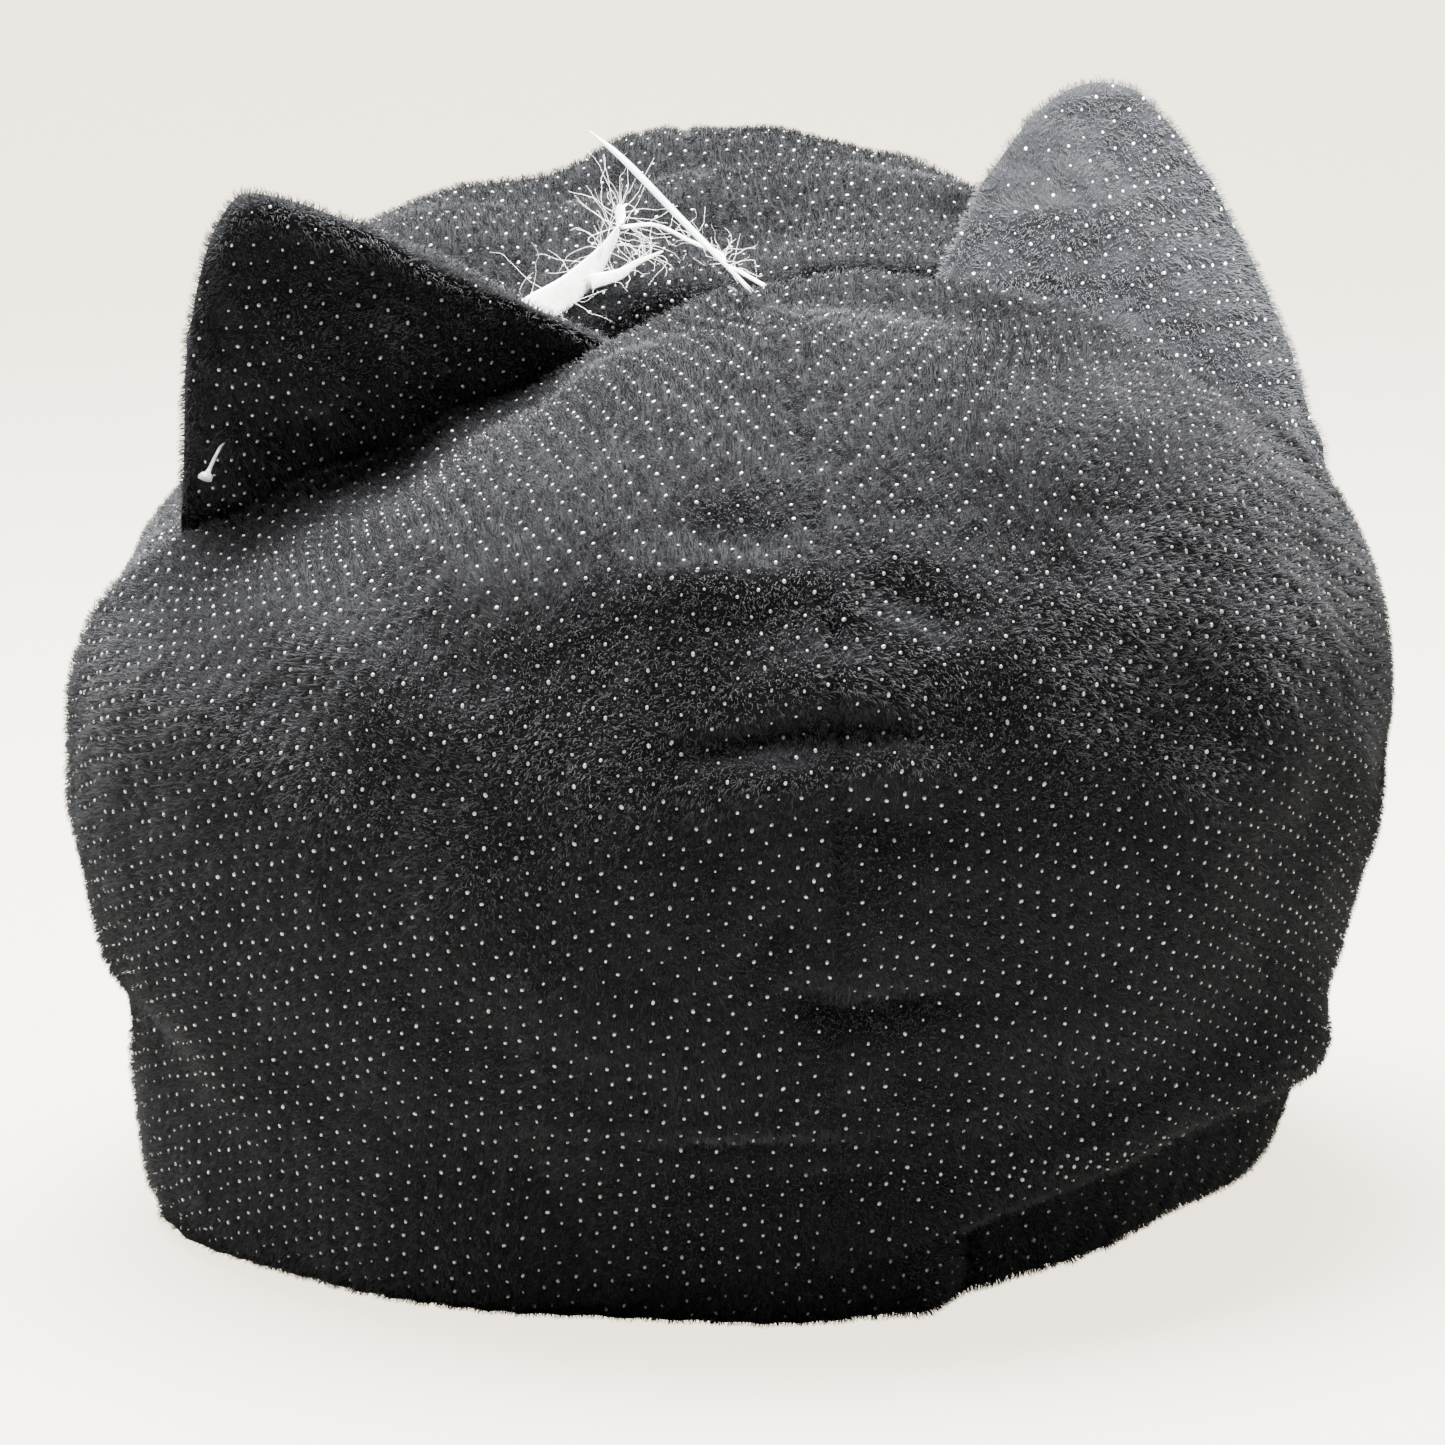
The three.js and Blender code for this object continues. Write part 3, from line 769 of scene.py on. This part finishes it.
def whole_dome():
    """The plush's outside, the same before it is pulled down over the hem, and a calmer surface under it.

    Columns start and end at the left seam.
    """
    angle, rise = np.meshgrid(ALL_ANGLES[:-1], RISES)
    form = head_form(angle, rise)
    normal = normals_of(head_form, angle, np.clip(rise, -0.2, 0.9965))
    height = relief(form, angle, rise)
    outer = form + normal * height[..., None]
    calm = blurred(local_minimum(height, 5), 3)
    under = form + normal * calm[..., None]
    grids = []
    for points in (pulled_down(outer, normal, angle), outer, under):
        normals = grid_normals(points, ring=True)
        closed = [np.concatenate([g, g[:, :1]], axis=1) for g in (points, normals)]
        grids.append(Patch(*closed))
    return grids


OUTSIDE, STANDING, UNDERSIDE = whole_dome()
EVERY_ROW = slice(None)


def quarter(number, inset=0):
    return slice(number * QUARTER + inset, (number + 1) * QUARTER + 1 - inset)


PANELS = {
    "front_panel_left": (0, "front_wadding_left", 0.3),
    "front_panel_right": (1, "front_wadding_right", -0.45),
    "back_panel_right": (2, "back_wadding_right", -0.1),
    "back_panel_left": (3, "back_wadding_left", 0.1),
}


def declare_sheet(piece, patch, held, rests_on, **more):
    patch.area()


for seed, (name, (number, wadding_name, tilt)) in enumerate(PANELS.items()):
    patch = OUTSIDE.part(EVERY_ROW, quarter(number))
    panel = sheet_mesh(name + "_plush", patch.points, patch.under(PLUSH), CLOTH)
    settle(panel, "hood", stands_for=name)
    places = dot_places(patch, tilt, seed)
    dots = dots_mesh(name + "_dots", patch, places, seed + 10)
    settle(dots, "hood")
    declare_sheet(panel, patch, "stretched", [wadding_name], with_pieces=[dots])
    add_pile(name + "_pile", patch, places, "hood", seed + 20)

    inset = QUARTER // 20
    rows = slice(1, -PAD_END)
    top = STANDING.part(rows, quarter(number, inset))
    low = UNDERSIDE.part(rows, quarter(number, inset))
    pad = sheet_mesh(wadding_name + "_pad", top.under(WADDING_TOP), low.under(WADDING_FOOT), FIBRE)
    settle(pad, "hood", stands_for=wadding_name)

for end, numbers in {"front": (0, 2), "back": (2, 4)}.items():
    name = "lining_" + end
    patch = UNDERSIDE.part(EVERY_ROW, slice(numbers[0] * QUARTER, numbers[1] * QUARTER + 1))
    lining = sheet_mesh(name + "_knit", patch.under(LINING_TOP), patch.under(LINING_FOOT), LINING)
    settle(lining, "hood", stands_for=name)
    pads = [f"{end}_wadding_left", f"{end}_wadding_right"]
    declare_sheet(lining, Patch(patch.under(LINING_TOP)), "stretched", pads)

SEAM_COLUMNS = {
    "side_seam_thread_left": 0,
    "front_seam_thread": QUARTER,
    "side_seam_thread_right": 2 * QUARTER,
    "back_seam_thread": 3 * QUARTER,
}
for name, column in SEAM_COLUMNS.items():
    last = np.searchsorted(RISES, SEAM_END)
    route = STANDING.points[2:last:2, column] - STANDING.normals[2:last:2, column] * SEAM_DEPTH
    thread = tube_mesh(name + "_twist", route, THREAD_RADIUS, YARN, sides=6)
    settle(thread, "hood", stands_for=name)

# ---- The hem -------------------------------------------------------------------------------------

BAND_HEIGHT = 14.3
BAND_DRAW = 0.02
ELASTIC_FOOT, ELASTIC_TOP = 3.4, 10.4
ELASTIC_HALF = 0.5  # half of its thickness
HEM_THREAD_HEIGHT = 12
RING_ANGLES = np.linspace(-BACK, BACK, 6 * QUARTER + 1)

# On the right the hem has risen off the floor, its outer layer more than its inner one.
LIFT_ANGLES = np.radians([-10, 0, 13, 20, 28, 34, 46, 62, 76, 100, 125])
OUTER_LIFTS = [0, 0, 2, 4, 6, 7.5, 9, 9.5, 8, 4, 0]
INNER_LIFTS = [0, 0, 1, 2, 1.5, 2.5, 6.5, 7, 6, 2, 0]


def plush_at(angle, height):
    """The standing plush at a height (or at its foot), and the way out of it, level."""
    column = np.mod(angle + SIDE, 4 * SIDE) / (4 * SIDE) * 4 * QUARTER
    row = np.maximum(height - PANEL_FOOT, 0) / PITCH
    low = slice(0, 16)
    p = bilinear(STANDING.points[low], column.ravel(), row.ravel()).reshape(*column.shape, 3)
    n = bilinear(STANDING.normals[low], column.ravel(), row.ravel()).reshape(*column.shape, 3)
    return p, unit(n * [1, 1, 0])


def band_surface(angle, inset, height):
    """A point of the hem band, that far in from the outside and that high in the band."""
    share = np.clip(height / BAND_HEIGHT, 0, 1)
    strength = fold_strength(angle)
    outward = np.clip(1 - inset / LINING_FOOT, 0, 1)
    lift = np.interp(angle, LIFT_ANGLES, INNER_LIFTS) * (1 - outward)
    lift = lift + np.interp(angle, LIFT_ANGLES, OUTER_LIFTS) * outward
    top = BAND_HEIGHT + outward * strength * np.maximum(fold_height(angle) - 0.5 - BAND_HEIGHT, 0)
    z = lift + (top - lift) * share
    p, n = plush_at(angle, z)
    drawn = 1 - BAND_DRAW * (1 - share)
    gathers = 0.5 * np.sin(angle * 84 + 2 * np.sin(angle * 9)) * (1 - share)
    bulge = (0.5 + 1.4 * strength) * np.sin(np.pi * share) + 1.6 * strength
    behind_drape = 2.9 * smoothstep(PANEL_FOOT - drape_edge(angle), 0, 3)
    out = bulge + gathers - behind_drape - inset
    point = p * [1, 1, 0] * drawn[..., None] + n * out[..., None]
    point[..., 2] = z
    return point


def band_profile(t):
    """Inset and height round the band, from its inner top edge, under it and up to its outer top edge."""
    wall = LINING_FOOT
    inset = np.interp(t, [0, 0.4, 0.46, 0.5, 0.54, 0.6, 1], [wall, wall, wall - 1.2, wall / 2, 1.2, 0, 0])
    height = np.interp(t, [0, 0.4, 0.47, 0.53, 0.6, 1], [BAND_HEIGHT, 1.4, 0, 0, 1.4, BAND_HEIGHT])
    return inset, height


def hem_band():
    t = np.linspace(0, 1, 30)
    angle, t = np.meshgrid(RING_ANGLES, t)
    inset, height = band_profile(t)
    patch = Patch(band_surface(angle, inset, height))
    inner_inset = inset + np.interp(t, [0, 0.44, 0.56, 1], [-1.8, -1.8, 1.8, 1.8])
    inner_height = np.clip(height, 1.9, BAND_HEIGHT)
    band = sheet_mesh("hem_band_fold", patch.points, band_surface(angle, inner_inset, inner_height), CLOTH)
    settle(band, "hood", stands_for="hem_band")
    outer = patch.part(slice(17, None), EVERY_ROW)
    places = dot_places(outer, 0.2, 40, margin=0.6)
    dots = dots_mesh("hem_band_dots", outer, places, 41)
    settle(dots, "hood")
    declare_sheet(band, patch, "folded", ["lining_front"], with_pieces=[dots])
    add_pile("hem_band_pile", patch.part(slice(14, None), EVERY_ROW), NOWHERE, "hood", 42)

    angle = RING_ANGLES[:-1]
    middle = LINING_FOOT / 2
    near, far = middle - ELASTIC_HALF, middle + ELASTIC_HALF
    corners = [(far, ELASTIC_FOOT), (far, ELASTIC_TOP), (near, ELASTIC_TOP), (near, ELASTIC_FOOT)]
    rows = []
    for inset, height in corners:
        rows.append(band_surface(angle, inset + 0 * angle, height + 0 * angle))
    count = len(angle)
    faces = []
    for k in range(4):
        for i in range(count):
            j = (i + 1) % count
            a, b = k * count, ((k + 1) % 4) * count
            faces.append([a + i, a + j, b + j, b + i])
    elastic = make_object("hem_elastic_tape", np.stack(rows), faces, RIBBED, smooth=False)
    settle(elastic, "hood", stands_for="hem_elastic")

    route = band_surface(angle, middle + 0 * angle, HEM_THREAD_HEIGHT + 0 * angle)[::3]
    thread = tube_mesh("hem_thread_twist", route, THREAD_RADIUS, YARN, sides=6, ring=True)
    settle(thread, "hood", stands_for="hem_thread")


hem_band()

# ---- The ears ------------------------------------------------------------------------------------

EAR_CORNER = 2
EAR_EDGE = 2.3
EAR_RIM = 3.2  # how far from the edge the cloth begins to turn over
EAR_SWELL = 8
EAR_CLOTH = 1.9
EAR_SUNK = 2.6  # the base lies this far under the head form, in the crown seam's valley
EARS = {
    "left": {
        "side": -1,
        "outer": 0.588,
        "inner": 0.947,
        "length": 57,
        "crest": -0.116,
        "outer_power": 1.59,
        "inner_power": 1.4,
        "lean": -2,
        "sway": 9.5,
        "cup": 6,
    },
    "right": {
        "side": 1,
        "outer": 0.451,
        "inner": 0.903,
        "length": 39,
        "crest": 0.29,
        "outer_power": 1.15,
        "inner_power": 2.5,
        "lean": 24,
        "sway": 19,
        "cup": 2,
    },
}


def rotated(v, axis, angle):
    axis = unit(axis)
    return v * np.cos(angle) + np.cross(axis, v) * np.sin(angle) + axis * (axis @ v) * (1 - np.cos(angle))


def form_at(angle, rise, depth=0.0):
    angle, rise = np.asarray(angle, float), np.asarray(rise, float)
    p = head_form(angle, rise)
    return p - normals_of(head_form, angle, rise) * depth


def ear_frame(posture):
    side = posture["side"]
    outer, inner = form_at(side * SIDE, posture["outer"]), form_at(side * SIDE, posture["inner"])
    chord = unit(inner - outer)
    middle = (posture["outer"] + posture["inner"]) / 2
    out = normals_of(head_form, side * SIDE, middle)
    rise = rotated(unit(out - chord * (out @ chord)), chord, np.radians(side * posture["lean"]))
    forward = np.cross(rise, chord) * side
    return chord, rise, forward


def ear_reach(across, posture):
    """The edge's height over the base: highest at the crest, and falling with a power on each side."""
    crest = posture["crest"]
    inwards = across > crest
    share = np.where(inwards, (across - crest) / (1 - crest), (crest - across) / (1 + crest))
    power = np.where(inwards, posture["inner_power"], posture["outer_power"])
    return EAR_SUNK + EAR_CORNER + posture["length"] * (1 - np.clip(share, 0, 1) ** power)


def ear_half_chord(posture):
    at = [form_at(posture["side"] * SIDE, posture[end]) for end in ("outer", "inner")]
    return np.linalg.norm(at[1] - at[0]) / 2


def ear_grid(posture, face, rows, columns):
    """One face of an ear before it is stuffed: face is 1 in front and -1 behind.

    The rows crowd towards the rim, where both faces meet in a round edge.
    """
    side = posture["side"]
    chord, rise, forward = ear_frame(posture)
    across, up = np.meshgrid(np.linspace(-1, 1, columns), np.sin(np.linspace(0, 1, rows) * SIDE))
    reach = ear_reach(across, posture)
    base_rise = posture["outer"] + (posture["inner"] - posture["outer"]) * (across + 1) / 2
    base = form_at(side * SIDE + 0 * across, base_rise, EAR_SUNK)
    length = up * reach
    steepness = np.gradient(reach[0], across[0]) / ear_half_chord(posture)
    to_rim = (reach - length) / np.sqrt(1 + steepness**2)
    turn = np.sqrt(1 - (1 - np.clip(to_rim / EAR_RIM, 0, 1)) ** 2)
    swell = (1 - across**4) * np.sin(np.pi * up**0.85)
    half = EAR_EDGE * turn + 0.75 * EAR_SWELL * np.clip(swell, 0, 1)
    climb = length / posture["length"]
    shape = base + rise * length[..., None] + chord * (posture["sway"] * climb)[..., None]
    shape = shape + forward * (face * half + posture["cup"] * across**2 * up)[..., None]
    # Columns run to the right seen from in front, and to the left seen from behind.
    return shape[:, ::-1] if side * face > 0 else shape


def ear_dot_places(posture, face, rows, columns, tilt, seed):
    """Columns and rows of a lattice of dots laid out in the ear's own plane."""
    rng = np.random.default_rng(seed)
    half_chord = ear_half_chord(posture)
    steps = np.arange(-40, 41)
    i, j = np.meshgrid(steps, steps)
    a = (i + 0.5 * (j % 2)) * DOT_SPACING
    b = j * DOT_SPACING * np.sqrt(3) / 2
    along = a * np.cos(tilt) - b * np.sin(tilt) + rng.normal(scale=DOT_JITTER, size=a.shape)
    height = a * np.sin(tilt) + b * np.cos(tilt) + rng.normal(scale=DOT_JITTER, size=a.shape)
    across = along / half_chord
    up = height / ear_reach(across, posture)
    kept = (np.abs(across) < 0.98) & (height > 1) & (up < 0.985)
    across, up = across[kept], up[kept]
    if posture["side"] * face > 0:
        across = -across
    return np.stack([(across + 1) / 2 * (columns - 1), np.arcsin(up) / SIDE * (rows - 1)], axis=-1)


STUFFING_FRAMES = 20
STUFFING_MOST = 4.0  # a point moves no further than this
RIM_HOLD = 0.9  # the share of its move that the rim does without


def stuffed(front, back):
    """The two faces after cloth simulation with air pressure between them, sewn along their edges."""
    rows, columns = front.shape[:2]
    count = rows * columns
    index = np.arange(count).reshape(rows, columns)
    behind = index + count
    behind[-1] = index[-1]  # both faces share the rim
    points = np.concatenate([front.reshape(-1, 3), back[:, ::-1].reshape(-1, 3)[: count - columns]])
    faces = grid_faces(rows, columns)
    for r in range(rows - 1):
        for c in range(columns - 1):
            faces.append([int(behind[r + dr, c + dc]) for dr, dc in ((0, 0), (1, 0), (1, 1), (0, 1))])
    open_edge = np.concatenate([index[::-1, 0], index[0, 1:], index[1:, -1]])
    open_behind = np.concatenate([behind[::-1, 0], behind[0, 1:], behind[1:, -1]])
    for k in range(len(open_edge) - 1):
        quad = [open_edge[k + 1], open_edge[k], open_behind[k], open_behind[k + 1]]
        faces.append(list(dict.fromkeys(int(i) for i in quad)))
    bag = make_object("bag", points, faces, CLOTH)
    pinned = bag.vertex_groups.new(name="pinned")
    pinned.add([int(i) for i in np.concatenate([index[:3].ravel(), behind[:3].ravel()])], 1.0, "REPLACE")
    sewn = bag.vertex_groups.new(name="sewn")
    edge = np.concatenate([index[:, 0], index[-3:].ravel(), index[:, -1], behind[-3:-1].ravel()])
    sewn.add([int(i) for i in edge], 1.0, "REPLACE")
    cloth = bag.modifiers.new("cloth", "CLOTH")
    settings = cloth.settings
    settings.quality = 6
    settings.mass = 0.1
    settings.tension_stiffness = 12
    settings.compression_stiffness = 12
    settings.shear_stiffness = 4
    settings.bending_stiffness = 0.3
    settings.use_pressure = True
    settings.uniform_pressure_force = 4
    settings.effector_weights.gravity = 0
    settings.vertex_group_mass = "pinned"
    settings.vertex_group_shrink = "sewn"
    settings.shrink_min = -0.02
    settings.shrink_max = 0.08
    cloth.collision_settings.use_collision = False
    scene = bpy.context.scene
    for step in range(1, STUFFING_FRAMES + 1):
        scene.frame_set(step)
    seen = bag.evaluated_get(bpy.context.evaluated_depsgraph_get())
    moved = np.zeros(len(points) * 3, np.float32)
    seen.data.vertices.foreach_get("co", moved)
    shift = moved.reshape(-1, 3).astype(float) / MM - points
    bpy.data.objects.remove(bag)
    scene.frame_set(1)
    length = np.linalg.norm(shift, axis=1, keepdims=True)
    shift = shift * np.minimum(1, STUFFING_MOST / np.maximum(length, 1e-9))
    moves = []
    hold = 1 - RIM_HOLD * smoothstep(np.arange(rows), 0.6 * rows, 0.85 * rows)[:, None, None]
    for grid in (index, behind):
        moves.append(blurred(shift[grid], 1, rounds=2, ring=False) * hold)
    rim = (moves[0][-1] + moves[1][-1]) / 2
    for move in moves:
        move[-1] = rim
    return front + moves[0], back + moves[1][:, ::-1]


EAR_GRID = (40, 64)
EAR_FINE = (90, 130)
EAR_TILTS = {"left": {"front": -0.08, "back": 0.1}, "right": {"front": 0.5, "back": -0.3}}


def add_ear(name, posture, seed):
    body = name + "_ear"
    faces = stuffed(*[ear_grid(posture, face, *EAR_GRID) for face in (1, -1)])
    _, rise, _ = ear_frame(posture)
    middle = (posture["outer"] + posture["inner"]) / 2
    foot = form_at(posture["side"] * SIDE, middle)
    patches = []
    for part, face, grid in (("front", 1, faces[0]), ("back", -1, faces[1])):
        fine = resampled(grid, *EAR_FINE)
        patch = Patch(fine)
        inside = 1 - hump(1 - np.linspace(0, 1, EAR_FINE[0]), 0.12)[:, None] * np.ones(EAR_FINE[1])
        wrinkles = inside * (0.5 * ripple(fine, 15, seed) + 0.25 * ripple(fine, 7, seed + 1))
        patch = Patch(fine + patch.normals * wrinkles[..., None])
        patches.append(patch)
        node = f"ear_{part}_{name}"
        inner = blurred(patch.under(EAR_CLOTH), 2, ring=False)
        cloth = sheet_mesh(node + "_plush", patch.points, inner, CLOTH)
        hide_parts(node)
        places = ear_dot_places(posture, face, *EAR_FINE, EAR_TILTS[name][part], seed + 2)
        dots = dots_mesh(node + "_dots", patch, places, seed + 3)
        declare_sheet(cloth, patch, "stretched", [f"ear_filling_{name}"], with_pieces=[dots])
        for piece in (cloth, dots):
            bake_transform(piece)
        add_pile(node + "_pile", patch, places, body, seed + 4, droop=tuple(-0.6 * rise))
        seed += 10
    add_ear_filling(name, patches)
    return patches


def add_ear_filling(name, patches):
    """The fibre inside, wherever there is room between the two cloths."""
    rows, columns = slice(3, -22), slice(10, -10)
    front = patches[0].points[rows, columns]
    back = patches[1].points[:, ::-1][rows, columns]
    gap = (front - back) / 2
    depth = np.linalg.norm(gap, axis=-1, keepdims=True)
    room = unit(gap) * np.maximum(depth - EAR_CLOTH - 0.7, 0.3)
    middle = (front + back) / 2
    filling = sheet_mesh(f"ear_filling_{name}_fibre", middle + room, middle - room, FIBRE)
    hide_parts(f"ear_filling_{name}")
    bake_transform(filling)


EAR_PATCHES = {name: add_ear(name, posture, 100 + 50 * k) for k, (name, posture) in enumerate(EARS.items())}


# ---- What is left of the tags --------------------------------------------------------------------

ACCENTED = ("ear_front_right_", "ear_back_right_", "ribbon_stump_", "loose_yarn_", "tag_loop_")


def crown_point(right, behind, lift):
    """A place on the plush of the crown, named by its distance right of and behind the crown point."""
    wanted = np.array([right, SEAM_FOOT_Y - SEAM_LEAN + behind])
    high = OUTSIDE.points[len(RISES) // 2 :]
    away = np.linalg.norm(high[..., :2] - wanted, axis=-1)
    r, c = np.unravel_index(away.argmin(), away.shape)
    return high[r, c] + OUTSIDE.normals[len(RISES) // 2 + r, c] * lift


def frayed(route, half_widths, count, reach, seed):
    """Fine curling fibres that leave a strand, as tube parts."""
    rng = np.random.default_rng(seed)
    parts = []
    for _ in range(count):
        k = rng.integers(1, len(route) - 1)
        heading = unit(np.array([rng.normal(), rng.normal() * 0.6 - 0.2, rng.normal() + 0.5]))
        point = route[k] + heading * half_widths[k] * rng.uniform(0, 0.6)
        steps = [point]
        for _ in range(rng.integers(4, 9)):
            heading = unit(heading + rng.normal(scale=0.3, size=3))
            steps.append(steps[-1] + heading * reach * rng.uniform(0.12, 0.28))
        curl = smooth_route(steps, 4 * len(steps))
        parts.append(tube_parts(curl, np.linspace(0.042, 0.02, len(curl)), sides=4))
    return parts


LOOP_SHIFTS = np.array([[0, 0, 0], [-9, 3, 10], [-18, 7, 20], [-27, 10, 30], [-33, 12, 35.5]])
# Places on the crown: right of the crown point, behind it, and above the plush.
RIBBON_STATIONS = [(-42, 9, 0), (-36, 10, 2), (-29, 11, 3), (-22.5, 12.5, 4), (-19, 14.5, 7), (-17.5, 16, 11)]
BRANCH_STATIONS = [(-24, 10.5, 3), (-20, 9, 2.8), (-16, 9, 3.2), (-12, 9.5, 3.4)]
YARN_STATIONS = [
    (-17.5, 15, 7),
    (-13, 15.5, 6.5),
    (-6.5, 15, 4),
    (-1.5, 13, 2),
    (-1, 10, 1.2),
    (2, 9, 1.2),
    (6, 5, 1.2),
]


def add_tags():
    patch = EAR_PATCHES["left"][0]
    p, n = patch.sample(np.array([EAR_FINE[1] * 0.2]), np.array([EAR_FINE[0] * 0.46]))
    root, out = p[0], n[0]
    hang = unit(np.array([-0.45, -0.5, -0.75]))
    shank = [root - out * 1.5, root + out * 1.2, root + out * 2.0 + hang * 1.5]
    shank += [root + out * 2.0 + hang * d for d in (3.5, 5.5, 7.0)]
    shank = smooth_route(shank, 22)
    share = np.linspace(0, 1, len(shank))
    radii = np.interp(share, [0, 0.2, 0.7, 0.8, 0.86, 1], [0.25, 0.3, 0.35, 0.5, 1.2, 1.3])
    shape = {"sides": 12, "flatten": 0.5, "across": (1, 0, 0.3)}
    fastener = tube_mesh("tag_fastener_clip", shank, radii, NYLON, **shape)
    settle(fastener, "left_ear", stands_for="tag_fastener")

    root = crown_point(8.5, 2, -0.5)
    loop = smooth_route([root + shift for shift in LOOP_SHIFTS], 30)
    share = np.linspace(0, 1, len(loop))
    radii = np.interp(share, [0, 0.3, 0.38, 0.7, 0.85, 1], [0.35, 0.4, 0.62, 0.66, 0.5, 0.1])
    shape = {"sides": 10, "flatten": 0.5, "across": (0.7, 0, 0.7)}
    strand = tube_mesh("tag_loop_strand", loop, radii, NYLON, **shape)
    settle(strand, "hood", stands_for="tag_loop")

    route = smooth_route([crown_point(*s) for s in RIBBON_STATIONS], 30)
    half = np.interp(np.linspace(0, 1, 30), [0, 0.2, 0.5, 0.75, 1], [3.4, 3.6, 3.2, 2.2, 1.1])
    parts = [tube_parts(route, half, sides=12, flatten=0.16, across=(0.3, -0.25, 1))]
    branch = smooth_route([crown_point(*s) for s in BRANCH_STATIONS], 20)
    branch_half = np.interp(np.linspace(0, 1, 20), [0, 0.2, 0.6, 1], [1.6, 1.3, 0.8, 0.2])
    parts.append(tube_parts(branch, branch_half, sides=8, flatten=0.3, across=(0.2, -0.3, 1)))
    parts += frayed(route, half, 90, 10, 71) + frayed(branch, branch_half, 24, 6, 72)
    ribbon = strands_mesh("ribbon_stump_weave", parts, SATIN)
    settle(ribbon, "hood", stands_for="ribbon_stump")

    route = smooth_route([crown_point(*s) for s in YARN_STATIONS], 60)
    parts = [tube_parts(route, 0.4, sides=8)] + frayed(route, np.full(60, 0.4), 36, 5, 73)
    yarn = strands_mesh("loose_yarn_strand", parts, SATIN)
    settle(yarn, "hood", stands_for="loose_yarn")


add_tags()

# A fill from the front that lights the right ear and the pale remnants only.
accent_light = add_softbox("accent_light", (0.05, -0.5, 0.6), (0.085, -0.02, 0.18), (0.3, 0.3), 85)
light_only(accent_light, [made for made in bpy.context.scene.objects if made.name.startswith(ACCENTED)])
